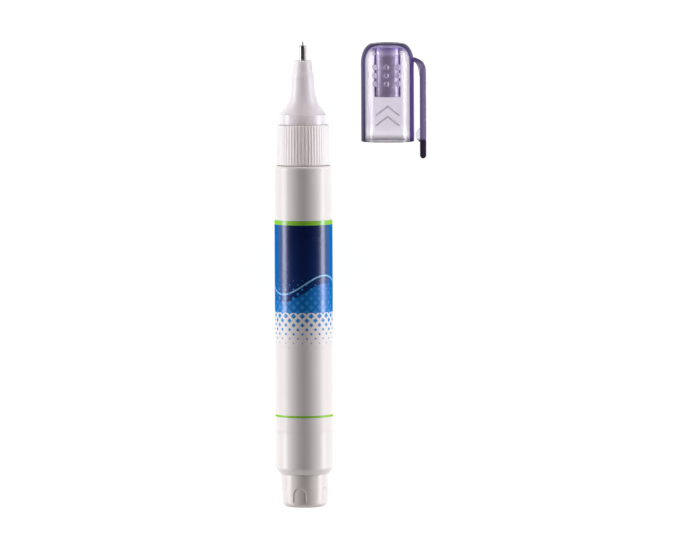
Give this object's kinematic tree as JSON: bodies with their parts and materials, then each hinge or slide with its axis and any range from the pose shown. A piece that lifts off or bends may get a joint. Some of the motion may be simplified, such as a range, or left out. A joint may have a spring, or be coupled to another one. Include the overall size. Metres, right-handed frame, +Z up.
{
  "type": "correction pen",
  "caption": "Lying correction pen with a knurled collar, flared nozzle, sprung needle tip and its transparent clip cap laid beside it.",
  "frame": {"origin": "centre of the flat tail end, on the pen's axis", "axes": "+Y along the pen from tail to tip, +Z up from the surface it lies on, +X towards the cap"},
  "size_m": [0.0419, 0.1284, 0.016],
  "materials": {
    "barrel_plastic": "moulded, satin gloss",
    "plug_plastic": "moulded, satin gloss",
    "collar_plastic": "moulded, fine ribs",
    "nozzle_plastic": "moulded, slightly translucent",
    "label_film": "printed film",
    "plated_metal": "nickel plated, drawn tube",
    "spring_steel": "drawn wire and ground ball",
    "valve_plastic": "moulded",
    "cap_plastic": "clear violet, polished",
    "seal_plastic": "tinted, moulded"
  },
  "bodies": {
    "pen": {"barrel": "barrel_plastic", "label": "label_film", "tail_plug": "plug_plastic", "collar": "collar_plastic", "nozzle": "nozzle_plastic", "tip_tube": "plated_metal", "valve_spring": "spring_steel", "spring_retainer": "valve_plastic"},
    "valve": {"needle": "plated_metal", "valve_rod": "valve_plastic"},
    "ball": {"mixing_ball": "spring_steel"},
    "cap": {"cap_shell": "cap_plastic", "inner_seal": "seal_plastic"},
    "clip": {"pocket_clip": "cap_plastic"}
  },
  "joints": [
    {"name": "cap_pull", "type": "slide", "parent": "pen", "child": "cap", "axis": [0, 1, 0], "range_m": [0, 0.032]},
    {"name": "needle_press", "type": "slide", "parent": "pen", "child": "valve", "axis": [0, -1, 0], "range_m": [0, 0.0007], "stiffness_N_per_m": 250, "deforming": ["valve_spring"]},
    {"name": "ball_roll", "type": "slide", "parent": "pen", "child": "ball", "axis": [0, 1, 0], "range_m": [0, 0.068]},
    {"name": "clip_flex", "type": "hinge", "parent": "cap", "child": "clip", "pos_m": [0.03105, 0.1234, -0.00065], "axis": [0, 0, 1], "range_deg": [0, 4], "stiffness_Nm_per_rad": 0.3}
  ]
}
